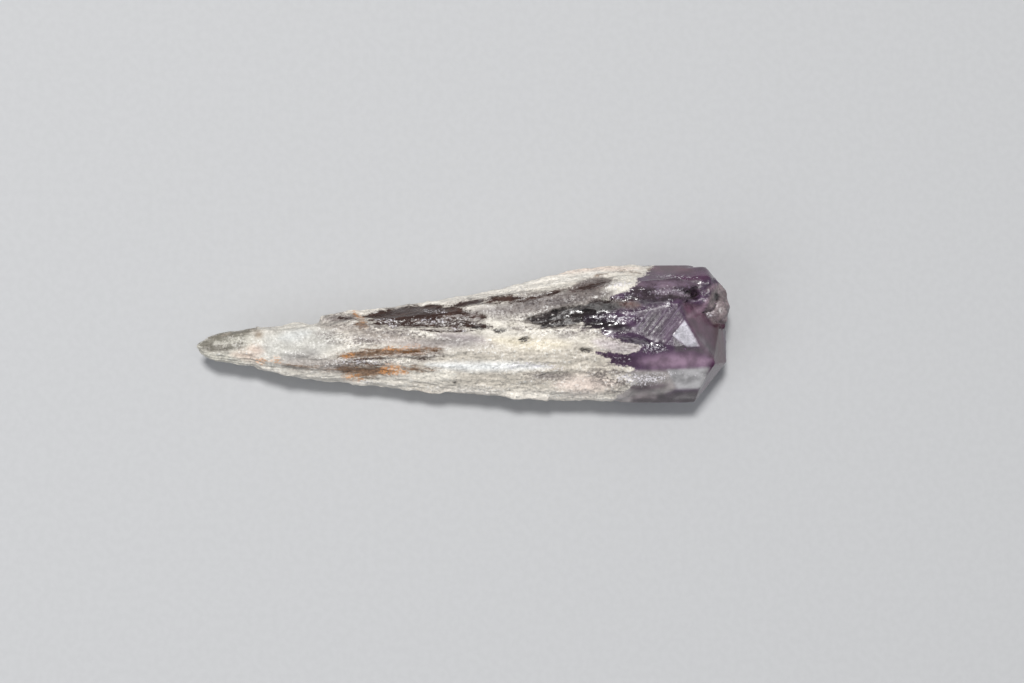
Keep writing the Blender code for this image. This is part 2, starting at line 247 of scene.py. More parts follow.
MARKS = {
    Mark.HEAD: (HEAD_TOP, HEAD_UNDER),
    Mark.SMOKY: (
        Patch(((-17, 2.3), (-12, 2.7), (-7, 2.9), (-3, 2.8), (2.8, 1.9)), 1.4),
        Patch(((-16, 0.9), (-11, 1.1), (-6, 1.2), (-1, 1), (4, 0.3)), 0.85),
        Patch(((-20.6, 2), (-17, 1.7), (-13, 1.6)), 0.2),
        Patch(((-7.6, -0.1), (-3.4, -0.2), (0.6, -0.1)), 0.15),
        Patch(((-4.6, 4), (0.4, 4.4), (4.6, 4.9)), 0.42),
        Patch(((1.6, 4.3), (5.4, 5), (9, 5.3)), 0.5),
        Patch(((6, 4.4), (9.6, 5.2), (12.6, 5.8)), 0.42),
        Patch(((11.4, 5.5), (14, 6.2), (16.2, 6.9)), 0.36),
        Patch(((17, 6.6), (19.4, 7.1), (22.2, 8.1)), 0.5),
        Patch(((-21, -4.6), (-17.6, -4.9), (-12.6, -4.7)), 0.2),
        Patch(((-16, -4.2), (-11, -3.8), (-5, -3.5)), 0.15),
        Patch(((-10.5, -4.9), (-4, -4.4)), 0.05),
        Patch(((-20, -1.6), (-14, -1.4), (-8, -1)), 0.6, Side.UNDER),
        Patch(((-6, -0.4), (0, -0.2)), 0.4, Side.UNDER),
        Patch(((6, 6), (10, 6.7), (13, 7.2)), 0.12, Side.UNDER),
        Patch(((15, 7.2), (21, 8)), 0.05, Side.UNDER),
        Patch(((-8, -8), (-3, -8.4)), 0.1, Side.UNDER),
        Patch(((5, -8.8), (9, -9)), 0.05, Side.UNDER),
        Patch(((17, -9.2), (22, -9.5)), 0.1, Side.UNDER),
    ),
    Mark.BLACK: (
        Patch((
            (9, 1.8), (12, 2.8), (15.4, 3.7), (18.8, 4.2), (21.4, 4.2), (20.6, 3.5), (18.6, 3),
            (18.4, 2.2), (18.6, 1.2), (16.2, 0.6), (12.8, 0.4), (10.6, 0.9),
        )),
        Patch(((7.7, -1.7), (10, -1.5)), 0.34),
        Patch(((3.8, -0.15), (5.9, -0.05)), 0.34),
        Patch(((17.8, -3), (19.6, -3.5)), 0.32),
        Patch(((0.2, 0.2), (2.4, 0.1)), 0.26),
        # Painted shadows: a black line in the crevice under a lath, and black in the shadowed hollow
        # beside the knob
        Patch(((32.2, 5.5), (35, 4.9)), 0.18),
        Patch(((34.8, 5.1), (36.2, 5.4), (37.4, 6.2), (38, 6.9)), 0.36),
        spot(-2, -8.2, 0.05),
    ),
    Mark.RUST: (
        Patch(((-21.4, -4.3), (-16, -3.9), (-11.2, -3.6), (-4.4, -3.1)), 0.64),
        Patch(((-21.4, -6.4), (-17.4, -6.7), (-11.6, -6.6)), 0.85),
        Patch(((-18.6, 3), (-17, 1.4)), 0.3),
        Patch(((-18.2, 1), (-16.4, 0.5)), 0.45),
        spot(25.4, 3.6, 0.7),
        Patch(((-10.4, -6.3), (-4.6, -6.1)), 0.3),
        Patch(((-29.8, -5.6), (-25.4, -6), (-21.6, -6.6)), 0.1),
        Patch(((29.4, 10.4), (31.2, 10)), 0.5),
        Patch(((21, 9.3), (25, 9.9), (28, 9.6)), -0.05),
        Patch(((-24, 1), (-12, 1.6)), 0.5, Side.UNDER),
        Patch(((2, -3), (10, -3.4)), 0.5, Side.UNDER),
    ),
    Mark.OCHRE: (
        Patch(((-14.4, -6.4), (-12.2, -6.3), (-10, -6.6)), 0.7),
        Patch(((-18.4, 3.2), (-16.8, 1.4)), 0.3),
        Patch(((-20.2, -7.4), (-17, -7.7)), 0.42),
        Patch(((-33.8, -5.1), (-32.4, -5.1)), 0.25),
        Patch(((-31.6, -5), (-30, -5)), 0.35),
        Patch(((-20.4, -4.3), (-18.6, -4.1)), 0.25),
        Patch(((-13.6, -3.2), (-8, -2.8)), 0.12),
    ),
    # White frost grains: real druse around the head, and painted glints as short rows in the smoky
    # windows and along the lower crust
    Mark.FROST: (
        Patch(((18.6, 1.9), (22, 2.1), (27.8, 1.7)), 0.55),
        Patch(((-14.8, 1.6), (-13.4, 1.5), (-11.8, 1.6)), 0.3),
        Patch(((-8.2, 1.6), (-5.8, 1.5), (-3.2, 1.6)), 0.32),
        Patch(((-7.4, 3.2), (-5.4, 3.2), (-3.6, 3)), 0.22),
        Patch(((-13, 0.6), (-11.4, 0.5)), 0.25),
        Patch(((-2.8, 0.3), (-0.2, -0.1)), 0.25),
        Patch(((-21.4, -5.2), (-18, -5.2), (-14.6, -5.3)), 0.3),
        Patch(((4.2, -6), (9.4, -5.6), (15.6, -6.1)), 0.4),
        Patch(((-17.6, -8.3), (-14.6, -8.5)), 0.3),
        Patch(((30, 8.8), (33.5, 8.9), (37, 8.7)), 0.15),
        Patch(((34, -7), (38, -7.2)), -0.1),
        Patch(((23.6, -7.4), (27.6, -7.8), (32.6, -7.5)), 0.95),
        Patch(((31.6, -6.9), (34.6, -6.8)), 0.2),
        Patch(((22.4, 7.1), (26, 7.5)), 0.6),
        Patch(((22.6, 5.2), (24.6, 5.4), (26.8, 5.4)), 0.5),
        Patch(((28.6, 5.9), (31, 6.3), (33.6, 6.3)), 0.15),
        Patch(((27.4, -2.8), (29.6, -3), (31.8, -3.2)), 0.6),
        Patch(((23.4, -4.4), (26, -4.9)), 0.1),
        spot(32, 4.3, 0.45),
        Patch(((38.6, 3.2), (40.4, 2.6)), 0.4),
        Patch(((33, 6.3), (35.8, 5.8)), 0.35),
    ),
    Mark.ROOT: (
        Patch((
            (-46, -3.6), (-46, 2), (-33, 2), (-34, 0.2), (-36.4, -1.4), (-35.2, -2.6),
            (-38.6, -3.3),
        ), side=Side.ROUND),
    ),
    Mark.STRIAE: (
        Patch((
            (25, 3.2), (31.8, 3.9), (34.5, 4.6), (34.5, 1.8), (32.7, -0.8), (32.4, -2.2),
            (28.4, -1.2), (26, 0.2),
        )),
    ),
    Mark.FLANK: (
        Patch(((29, 8.6), (38, 8.4), (41, 8.8), (41.6, 11), (39, 13), (29, 13)), side=Side.ROUND),
    ),
    Mark.SUGAR: (
        Patch((
            (-46, -9), (-46, 3), (-23, 3), (-24.5, 0.6), (-22, -1.4), (-25, -3.4), (-23, -5),
            (-26, -9),
        ), side=Side.ROUND),
    ),
    Mark.SATIN: (
        Patch(((34.5, 1.6), (32.5, -0.9), (34.9, -2.7), (37.1, -2.6))),
    ),
    Mark.RODS: (
        Patch(((25.4, 5.2), (27, 7.6), (30, 8.3), (37, 8.2), (36, 6.6), (34.4, 5.3), (31, 4.9))),
    ),
    Mark.KNOB: (
        Patch((
            (34.6, 3.6), (33.8, 5.6), (35, 7.2), (38, 8.4), (40.6, 9.2), (42.4, 8.6), (44, 6.6),
            (44, 1.4), (41.4, 1.2), (39.4, 2.6), (37.6, 4),
        )),
    ),
    Mark.MATT: (
        Patch(((16.8, 3.4), (21.4, 4), (27, 4.1), (32, 4.8)), 0.7),
        Patch(((23.6, -1), (26, -1.7), (28.8, -2.3)), 0.7),
    ),
    Mark.THIN: (
        Patch(((-17, 2.4), (-10, 2), (-3, 1.8), (3, 1.6)), 2.2),
        Patch(((2, 2.2), (7, 2.6), (13, 3.2), (20, 4.4), (24, 5.2)), 1.9),
        Patch(((-43, -2.6), (-39, -3), (-36, -2.2)), 0.4),
        Patch(((-25, 1.2), (-18, 0.6), (-10, -0.6), (-2, -1.8)), 1.1),
        Patch(((-24.6, -0.8), (-20, -1.6), (-14.6, -2.2)), 1.2),
        Patch(((-24, -5.6), (-19, -5.4), (-12, -4.6), (-4, -4)), 1.3),
        Patch(((-23.4, 1.9), (-20, 2), (-17.9, 2.2)), 1.2),
        Patch(((8, 3.6), (14, 4.8), (21, 5.9)), 2.2),
        Patch(((-3, 4.4), (6, 5.2), (14, 6.4)), 0.9),
        Patch(((16, 6.2), (24, 8.4)), 1.4),
        Patch(((6, 0.2), (14, 0.2), (20, 0), (24, -1)), 1.1),
        Patch(((21, -1.4), (24, -2), (27.6, -2.7)), 0.7),
        Patch(((9, -7.2), (17, -7.4)), 0.8),
        Patch(((19, -6.6), (23, -7.4), (27, -8.6)), 1.6),
        Patch(((23, -9.6), (28, -10.4)), 0.9),
        Patch(((-18, -1.6), (-11, -1.2), (-3, -0.4)), 2, Side.UNDER),
        Patch(((8, 6.4), (16, 7.6), (22, 8.2)), 1.8, Side.UNDER),
        Patch(((-6, -8.2), (4, -8.9), (12, -9.3), (25, -9.6)), 1.6, Side.UNDER),
    ),
}

# Between which depths inside a marking its relief sets in
FADES = {
    Mark.HEAD: (-0.9, 0.3), Mark.SMOKY: (-0.25, 0.35), Mark.BLACK: (-0.25, 0.35),
    Mark.FROST: (-0.5, 0.5), Mark.STRIAE: (0, 0.8), Mark.KNOB: (-0.2, 0.7),
    Mark.SUGAR: (-1, 1.4), Mark.MATT: (-0.5, 0.4),
}
# How far a noise carries the edge of a marking's colour, and how soft that edge is
RAGGED_EDGES = {
    Mark.HEAD: (4.2, 0.2), Mark.SMOKY: (4.2, 0.25), Mark.BLACK: (4.4, 0.35),
    Mark.RUST: (4.6, 0.5), Mark.OCHRE: (4, 0.5), Mark.ROOT: (2, 0.4),
    Mark.THIN: (3, 0.9), Mark.SUGAR: (5, 1), Mark.MATT: (4.4, 0.35),
}
# Between which depths inside a marking its colour sets in, where its edge is even
EVEN_EDGES = {
    Mark.STRIAE: (0, 0.8), Mark.KNOB: (0, 0.6), Mark.SATIN: (-0.1, 0.1), Mark.RODS: (-0.1, 0.7),
}

# The crust's own colour, and the patches that differ from it
CREAM = linear(230, 224, 213)
TONES = (
    # The root and the pale crust around it
    Tone(Patch((
        (-45, -6), (-45, 2), (-35.5, 1), (-34, -2), (-36, -6),
    ), side=Side.ROUND), (214, 210, 198), 1.2),
    Tone(Patch(((-42, -1.4), (-37, 0), (-32.4, 0.6)), 0.8), (152, 141, 127), 0.6),
    Tone(spot(-36.6, -3.2, 0.8), (180, 174, 164), 0.7),
    Tone(Patch(((-43, -3.4), (-37.5, -3)), 0.3), (152, 148, 138), 0.5),
    Tone(Patch(((-38, -4), (-34, -4.4), (-31, -2)), 0.6), (236, 216, 200), 0.8),
    Tone(Patch((
        (-34, -4.6), (-33, -0.6), (-21.6, 1), (-20.6, -2.6), (-25, -4.8), (-29, -6.4),
    )), (208, 206, 199), 1.4),
    Tone(Patch(((-30, -4.6), (-26.6, -4.2), (-23.8, -3.8)), 0.8), (176, 173, 169), 0.9),
    Tone(Patch(((-30.6, -1.5), (-27.8, -1), (-25.4, -0.4)), 0.8), (217, 218, 215), 0.9),
    Tone(Patch(((-35.4, -3), (-33, -3.6)), 0.6), (228, 208, 194), 0.9),
    Tone(spot(-33.7, -0.9, 0.6), (164, 150, 134), 0.6),
    # The bright strip along the upper edge, and the grey streaks beside it
    Tone(Patch((
        (-22, 3.4), (-6.5, 5), (1.5, 6), (11.1, 8), (20.7, 9.7), (30, 10.8),
    ), 0.9), (246, 240, 230), 0.6),
    Tone(Patch(((13, 9.4), (20.7, 10.6), (28.6, 10.5)), 0.3), (246, 226, 212), 0.6),
    Tone(Patch(((-14, 4.1), (-10.4, 4.6), (-7.4, 4.8)), 0.5), (160, 154, 148), 0.5),
    Tone(Patch(((0, 2.9), (6, 3.2), (12, 4.2), (18, 5.4), (22, 5.8)), 1.2), (150, 143, 141), 1),
    Tone(Patch(((7, 4), (14, 4.9), (23, 6.1)), 1.2), (98, 90, 90), 1),
    Tone(Patch(((8.6, 1.5), (12, 2), (17, 2.4)), 0.9), (104, 96, 94), 0.6),
    Tone(Patch(((-24, 0.4), (-19, 0.2), (-14, -1.2), (-4, -2.4)), 0.9), (184, 174, 164), 1),
    Tone(Patch(((-24.6, -5.6), (-19, -6.2)), 0.7), (158, 148, 144), 1),
    Tone(Patch(((-23.4, 1.8), (-20, 2), (-17.9, 2.2)), 0.4), (140, 130, 130), 0.7),
    Tone(Patch(((-5.6, -0.8), (0, -1.5), (4.6, -2.5)), 0.8), (172, 162, 163), 0.9),
    Tone(Patch(((-11, -2.6), (-3, -2.3), (4, -2.9)), 0.9), (160, 154, 153), 0.9),
    Tone(Patch(((-30, -5.4), (-26, -5.4), (-20, -5.8)), 1), (178, 171, 165), 1),
    Tone(Patch(((-19, -1.4), (-12, -2), (-3.2, -2.8)), 0.5), (180, 170, 164), 0.9),
    # Cream and pinkish crust of the lower side, with a painted lighter bottom edge and a painted row
    # of glints
    Tone(Patch((
        (-8, -4.4), (2, -2.6), (22, -1.2), (26, -6), (24, -12.6), (-10, -12),
    )), (214, 206, 193), 1.6),
    Tone(Patch(((3, -1.6), (9, -2.2), (16, -2.4)), 0.8), (232, 222, 200), 1),
    Tone(Patch(((-10, -6.8), (-1.6, -7.4)), 1.3), (242, 236, 224), 1),
    # Painted light: the bottom edge is lighter, as if lit from the front
    Tone(Patch(((-6, -9.4), (6, -10.4), (25, -10.8)), 1), (248, 241, 230), 0.9),
    Tone(Patch(((14, -8.6), (24, -8.4)), 1.4), (238, 222, 211), 1.2),
    Tone(Patch(((10, -7.2), (15.6, -7.4)), 0.4), (150, 142, 138), 0.5),
    Tone(Patch(((14, -0.9), (17, -0.6)), 0.4), (172, 166, 160), 0.6),
    # A painted row of glints along the lower crust
    Tone(Patch(((-7, -5.6), (0, -5.9), (6, -5.8), (13, -5.9)), 0.7), (252, 253, 251), 0.6),
    Tone(Patch(((19.6, -1.8), (23.6, -2.6), (28, -3)), 1.1), (200, 190, 190), 0.8),
    Tone(Patch(((15.8, 6.3), (19.1, 7.2), (23.2, 8.3)), 1.1), (84, 66, 62), 0.35),
)

# The head's own colour, and the patches that differ from it
VIOLET = linear(108, 82, 112)
HEAD_TONES = (
    # The flank, the deep violet band beside the rods, darker partly as painted shade of the valley
    # there, and the dark wedges at the crust
    Tone(Patch(((29, 8.2), (37.6, 8), (41, 9.4), (39, 13), (28, 13))), (110, 74, 104), 0.5),
    Tone(Patch(((29.6, 10.4), (33, 10.8), (36.6, 10.2)), 0.7), (132, 92, 106), 0.9),
    # Deep violet, partly the quartz's own colour and partly painted shade of the valley beside the
    # rods
    Tone(Patch(((25, 4.8), (28, 4.7), (32, 4.7)), 0.7), (66, 42, 72), 0.6),
    Tone(Patch(((16.6, 3.5), (21.4, 4.2), (26.6, 4.4)), 0.95), (80, 58, 50), 0.5),
    Tone(Patch(((22.4, -1.6), (27.1, -1.9), (31, -2.3)), 0.7), (66, 44, 72), 0.6),
    Tone(Patch(((21, -4.1), (25, -4.8), (28, -5.5)), 0.8), (92, 66, 92), 0.6),
    Tone(Patch(((14, 2.6), (19, 3.2), (24, 3.8)), 1.5), (46, 38, 42), 1),
    Tone(Patch(((16, 1), (22, 0.8), (26, 0.2)), 1.1), (54, 44, 50), 0.9),
    Tone(Patch(((24.4, 4.2), (27.4, 4)), 0.6), (122, 82, 78), 0.6),
    # The rods along the shoulder
    Tone(Patch((
        (25, 4.9), (26.6, 7.4), (30, 8.3), (37.4, 8.3), (37.6, 6.8), (35, 5.2), (31, 4.7),
    )), (92, 78, 86), 0.5),
    Tone(Patch(((26.4, 7.3), (32, 7.5), (37.6, 7.6)), 0.7), (148, 126, 144), 0.5),
    Tone(Patch(((29, 6.1), (32, 6.2), (35.8, 5.7)), 0.45), (170, 152, 168), 0.3),
    # The faces on top
    Tone(Patch((
        (26, 3.2), (31.8, 3.9), (34.5, 4.6), (34.5, 1.8), (32.7, -0.8), (32.4, -2.2), (28.4, -1.2),
        (26.4, 0.4),
    )), (76, 52, 78), 0.7),
    Tone(Patch(((31, -1.6), (33.6, 1.4), (34.4, 4)), 0.9), (116, 92, 118), 0.8),
    # The small bright face: pale partly as a frosted face and partly as a painted highlight
    Tone(Patch(((34.5, 1.6), (32.5, -0.9), (34.9, -2.7), (37.1, -2.6))), (190, 187, 196), 0.12),
    Tone(Patch((
        (32.6, -1.1), (34.9, -2.8), (37.3, -2.7), (38.4, -4), (36, -3.4), (32.9, -3.5),
    )), (122, 112, 120), 0.25),
    Tone(Patch((
        (27.6, -4.9), (31, -4), (36, -3.6), (39.4, -4.5), (38.8, -5.9), (33, -6.1), (29.6, -5.9),
    )), (186, 156, 180), 1.1),
    # The lower faces
    Tone(Patch((
        (20, -6.5), (33, -6.4), (33.8, -9.2), (28, -12.6), (20, -12.6),
    )), (212, 204, 202), 0.4),
    Tone(Patch(((25, -8.6), (28, -9.2), (32.6, -8.6)), 0.6), (140, 128, 134), 0.5),
    # The bright lower face: pale partly as a frosted face and partly as a painted highlight
    Tone(Patch(((32, -6.3), (39, -5.9), (38.3, -9.2), (34, -9.3))), (222, 220, 222), 0.3),
    Tone(Patch((
        (27, -10.4), (32, -9.9), (38.2, -9.3), (38, -11.6), (27, -12),
    )), (102, 90, 98), 0.5),
    Tone(Patch(((26, -11.4), (28.6, -10.8), (31, -10.6)), 0.9), (186, 172, 174), 0.8),
    Tone(Patch(((34, -10.8), (38.2, -10.6)), 0.5), (166, 160, 162), 0.6),
    # The end face, its rim and the knob
    Tone(Patch((
        (34.7, 4.8), (34.7, 1.9), (36.9, -2.4), (39.3, -4.7), (42.1, -4.6), (42.5, 2.3),
        (38.5, 4.2),
    )), (126, 98, 116), 0.3),
    Tone(Patch(((34.6, 4.2), (35.8, 3), (38.6, 2.4)), 0.7), (168, 124, 148), 0.9),
    Tone(Patch(((36.6, -0.6), (38.6, -2.9), (40, -4.2)), 0.7), (146, 134, 144), 0.9),
    Tone(Patch(((41.2, 3), (41, -1.4), (40.8, -5.4)), 0.8, blunt=True), (94, 34, 56), 1),
    Tone(Patch(((42.3, 3), (41.6, -4.2), (41, -6.4), (44.6, -6.4), (44.6, 3))), (96, 26, 64), 0.6),
    Tone(Patch((
        (39.2, -5), (38, -10.2), (37.6, -12.4), (40, -12.4), (43.4, -5.6),
    ), side=Side.ROUND), (92, 34, 82), 0.6),
    Tone(Patch(((35, 2.2), (38, 3.8), (39.2, 5.6)), 0.45), (190, 160, 178), 0.4),
    Tone(Patch((
        (38.6, 3.4), (39, 5.6), (40, 7.4), (41.6, 8.6), (43.4, 6.4), (43.2, 2), (40.2, 1.4),
    )), (176, 160, 162), 0.4),
    # Painted shade in a hollow of the knob
    Tone(Patch(((40.2, 6.4), (40.8, 5.2)), 0.6), (62, 54, 56), 0.4),
    Tone(Patch(((38.4, 6.6), (39.6, 7.2), (40.6, 7.9)), 0.4), (176, 150, 164), 0.4),
    Tone(Patch(((42.4, 7.6), (43.6, 4), (43.2, 1)), 0.5), (178, 150, 156), 0.4),
)


@dataclass
class Carving:
    """A noise that shapes the surface: its height and its pace along and across the stone."""

    height: float
    along: float
    across: float
    start: float = 0.0

    def read(self, x: float, u: float, v: float) -> float:
        """The height of the noise at a place along X and two places across."""
        place = (x * self.along + self.start, u * self.across, v * self.across)
        return self.height * noise.noise(Vector(place))


@dataclass
class Stone:
    """The whole crystal: its fine mesh, its relief and the marks that its finish reads."""

    grid_depth: int = 8
    grid_fill: float = 0.94
    merge_distance: float = 1e-7
    rib_radius: float = 8.0
    ribs: Carving = field(default_factory=lambda: Carving(0.11, 0.17, 0.95))
    fine_ribs: Carving = field(default_factory=lambda: Carving(0.045, 0.5, 2.3, 3.0))
    ledges: Carving = field(default_factory=lambda: Carving(1.0, 0.24, 0.7, 11.0))
    crumbs: Carving = field(default_factory=lambda: Carving(0.11, 1.2, 1.9, 5.0))
    lumps: Carving = field(default_factory=lambda: Carving(0.20, 0.42, 0.7, 6.0))
    druse: Carving = field(default_factory=lambda: Carving(0.5, 1.5, 1.7, 2.0))
    knobs: Carving = field(default_factory=lambda: Carving(0.42, 0.75, 0.85, 14.0))
    striae: Carving = field(default_factory=lambda: Carving(0.006, 0.12, 2.6, 8.0))
    wander: Carving = field(default_factory=lambda: Carving(1.3, 0.22, 0.35, 21.0))
    ledge_height: float = 0.08
    ledge_steepness: float = 6.0
    root_calm: float = 0.7
    lumps_everywhere: float = 0.3
    low_reach: float = 0.15
    window_depth: float = 0.20
    window_calm: float = 0.5
    groove_depth: float = 0.16
    druse_share: float = 0.5
    druse_sink: float = 0.05
    knob_crumbs: float = 0.5
    edge_angle: float = 22.0
    edge_passes: int = 1
    crust_passes: int = 7
    knob_passes: int = 3
    flank_passes: int = 10
    crust_reach: float = 0.2
    sharp_from: float = 0.3
    frost_lead: float = 0.2
    fine_from: float = -0.6
    fine_above: float = 0.1
    bm: bmesh.types.BMesh = None
    mesh: bpy.types.Mesh = None
    places: np.ndarray = None
    lows: np.ndarray = None

    def build(self) -> bpy.types.Object:
        """Makes the piece and hands it to the frame.

        Returns:
            The finished object.
        """
        self.rebuild()
        self.soften()
        self.divide_top()
        self.carve()
        self.keep_in_box()
        stone = self.as_object()
        self.write_marks()
        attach(stone, BODY)
        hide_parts(NODE)
        return stone

    def rebuild(self) -> None:
        """Rebuilds a copy of the frame's solid from small even faces, edges kept sharp."""
        solid = bmesh.new()
        solid.from_mesh(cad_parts[NODE].data)
        bmesh.ops.remove_doubles(solid, verts=solid.verts, dist=self.merge_distance)
        mesh = bpy.data.meshes.new("even")
        solid.to_mesh(mesh)
        solid.free()
        holder = bpy.data.objects.new("even", mesh)
        bpy.context.scene.collection.objects.link(holder)
        remesh = holder.modifiers.new("even", "REMESH")
        remesh.mode = "SHARP"
        remesh.octree_depth = self.grid_depth
        remesh.scale = self.grid_fill
        remesh.sharpness = 1.0
        remesh.use_remove_disconnected = True
        bpy.context.view_layer.update()
        evaluated = holder.evaluated_get(bpy.context.evaluated_depsgraph_get())
        self.bm = bmesh.new()
        self.bm.from_mesh(evaluated.to_mesh())
        evaluated.to_mesh_clear()
        bpy.data.objects.remove(holder)
        bpy.data.meshes.remove(mesh)
        self.find_places()

    def find_places(self) -> None:
        """Notes X, Y and Z of each point, in millimetres."""
        self.places = np.array([vert.co for vert in self.bm.verts]) / MM

    def height(self) -> np.ndarray:
        """How far each place is above the stone's middle."""
        return self.places[:, 2] - np.interp(self.places[:, 0], MIDDLE_X, MIDDLE_Z)

    def around(self) -> np.ndarray:
        """The direction from the middle line to each place, seen along X.

        Returns:
            Y and Z of each direction, as long as the rib radius.
        """
        beside = self.places[:, 1] - np.interp(self.places[:, 0], MIDDLE_X, MIDDLE_Y)
        out = np.stack([beside, self.height()], axis=1)
        length = np.maximum(np.linalg.norm(out, axis=1, keepdims=True), 1e-6)
        return self.rib_radius * out / length

    def depth_of(self, mark: Mark) -> np.ndarray:
        """How far inside a kind of marking each place is, in millimetres.

        Args:
            mark: The kind of marking.

        Returns:
            The depth, between plus and minus DEPTH_LIMIT.
        """
        height = self.height()
        depth = np.full(len(height), -DEPTH_LIMIT)
        for patch in MARKS[mark]:
            depth = np.maximum(depth, patch.depth(self.places[:, :2], height))
        return np.clip(depth, -DEPTH_LIMIT, DEPTH_LIMIT)

    def share_of(self, mark: Mark) -> np.ndarray:
        """How much of a marking's relief each place gets, from 0 to 1."""
        return smooth_step(*FADES[mark], self.depth_of(mark))

    def soften(self) -> None:
        """Softens the crust, the knob and the flank, and blunts the head's edges."""
        self.bm.normal_update()
        head, knob, flank = (self.depth_of(mark) for mark in (Mark.HEAD, Mark.KNOB, Mark.FLANK))
        limit = math.radians(self.edge_angle)
        edges = {
            vert for edge in self.bm.edges
            if len(edge.link_faces) == 2 and edge.calc_face_angle() > limit
            for vert in edge.verts if head[vert.index] >= self.crust_reach
        }
        verts = list(self.bm.verts)
        for chosen, passes in (
            ([vert for vert in verts if head[vert.index] < self.crust_reach], self.crust_passes),
            ([vert for vert in verts if knob[vert.index] > 0.0], self.knob_passes),
            ([vert for vert in verts if flank[vert.index] > 0.0], self.flank_passes),
            (list(edges), self.edge_passes),
        ):
            for _ in range(passes):
                bmesh.ops.smooth_vert(
                    self.bm, verts=chosen, factor=0.5,
                    use_axis_x=True, use_axis_y=True, use_axis_z=True,
                )
        self.bm.normal_update()
        crisp = np.minimum(head, np.minimum(-knob, -flank))
        for edge in self.bm.edges:
            in_head = min(crisp[vert.index] for vert in edge.verts) > self.sharp_from
            edge.smooth = not (in_head and edge.calc_face_angle(0.0) > limit)

    def divide_top(self) -> None:
        """Divides the faces that look up and get a relief once more."""
        carved = np.maximum.reduce([
            -self.depth_of(Mark.HEAD), self.depth_of(Mark.KNOB), self.depth_of(Mark.STRIAE),
            self.depth_of(Mark.FROST) - self.frost_lead,
        ])
        top = {
            edge for face in self.bm.faces
            if face.normal.z > self.fine_above
            and max(carved[vert.index] for vert in face.verts) > self.fine_from
            for edge in face.edges
        }
        bmesh.ops.subdivide_edges(self.bm, edges=list(top), cuts=1, use_grid_fill=True)
        for face in self.bm.faces:
            face.smooth = True

    def carve(self) -> None:
        """Gives the crust its ribs, ledges and crumbs and the top face its growth lines."""
        self.bm.normal_update()
        self.find_places()
        head, root, frost, groove, lined, knob = (
            self.share_of(mark)
            for mark in (Mark.HEAD, Mark.SUGAR, Mark.FROST, Mark.MATT, Mark.STRIAE, Mark.KNOB)
        )
        window = np.maximum(self.share_of(Mark.SMOKY), self.share_of(Mark.BLACK)) * (1.0 - head)
        knob = knob * smooth_step(*KNOB_LUMPS, self.places[:, 0])
        shares = np.column_stack([head, root, window, frost, groove, knob, lined])
        self.lows = np.zeros(len(shares))
        rows = zip(self.bm.verts, self.places, self.around(), shares)
        for index, (vert, place, across, share) in enumerate(rows):
            rise, self.lows[index] = self.rise(place, across, share)
            vert.co += vert.normal * (rise * MM)

    def rise(self, place: np.ndarray, across: np.ndarray, shares: np.ndarray) -> tuple[float, float]:
        """Adds up the relief at one place.

        Args:
            place: X, Y and Z of the place.
            across: Its direction from the middle line.
            shares: How much it has of the head, the sugary root, a window, frost, the groove, the
                knob and the growth lines.

        Returns:
            How far the surface rises in millimetres, and how low the place lies in the crust.
        """
        head, root, window, frost, groove, knob, lined = shares
        x, y, z = place
        sway = self.wander.read(x, *across)
        u, v = across[0] + sway, across[1] - sway
        crust = 1.0 - head
        rise, low = 0.0, 0.0
        if crust > 0.0:
            ribbed = self.ribs.read(x, u, v) + self.fine_ribs.read(x, u, v)
            rise = (1.0 - self.root_calm * root) * ribbed
            rise += self.ledge_height * math.tanh(self.ledge_steepness * self.ledges.read(x, u, v))
            lumpy = (self.lumps_everywhere + root) * self.lumps.read(x, y, z)
            rise += self.crumbs.read(x, y, z) + lumpy
            low = -crust * rise / self.low_reach
            rise = crust * (1.0 - self.window_calm * window) * rise - self.window_depth * window
        if frost > 0.0:
            rise += self.druse_share * frost * (abs(self.druse.read(x, y, z)) - self.druse_sink)
        if groove > 0.0:
            rise -= groove * (self.groove_depth + self.crumbs.read(x, y, z))
        if knob > 0.0:
            rise += knob * (self.knobs.read(x, y, z) + self.knob_crumbs * self.crumbs.read(x, y, z))
        if lined > 0.0:
            angle = math.radians(STRIAE_ANGLE)
            along = x * math.cos(angle) + y * math.sin(angle)
            beside = y * math.cos(angle) - x * math.sin(angle)
            rise += lined * self.striae.read(along, beside, 0.0)
        return rise, low

    def keep_in_box(self) -> None:
        """Keeps every point inside the solid's own box and off the floor."""
        low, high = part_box(NODE)
        for vert in self.bm.verts:
            vert.co = [min(max(c, a), b) for c, a, b in zip(vert.co, low, high)]

    def as_object(self) -> bpy.types.Object:
        """Turns the finished bmesh into the piece's object.

        Returns:
            The object.
        """
        self.find_places()
        self.mesh = bpy.data.meshes.new("amethyst_stone")
        self.bm.to_mesh(self.mesh)
        self.bm.free()
        stone = bpy.data.objects.new("amethyst_stone", self.mesh)
        bpy.context.scene.collection.objects.link(stone)
        log.info("stone: %d faces", len(self.mesh.polygons))
        return stone

    def write_marks(self) -> None:
        """Writes the marks, the grain and the tones to the mesh, for its finish to read."""
        for mark in Mark:
            self.write(mark.value, "FLOAT", "value", self.depth_of(mark))
        self.write("low", "FLOAT", "value", self.lows)
        grain = np.column_stack([self.places[:, 0], self.around()])
        self.write("grain", "FLOAT_VECTOR", "vector", grain)
        self.write("crust_tone", "FLOAT_COLOR", "color", self.toned(CREAM, TONES))
        self.write("head_tone", "FLOAT_COLOR", "color", self.toned(VIOLET, HEAD_TONES))

    def write(self, name: str, kind: str, part: str, values: np.ndarray) -> None:
        """Keeps one value, vector or colour for each point of the mesh."""
        layer = self.mesh.attributes.new(name, kind, "POINT")
        layer.data.foreach_set(part, values.astype(np.float32).ravel())

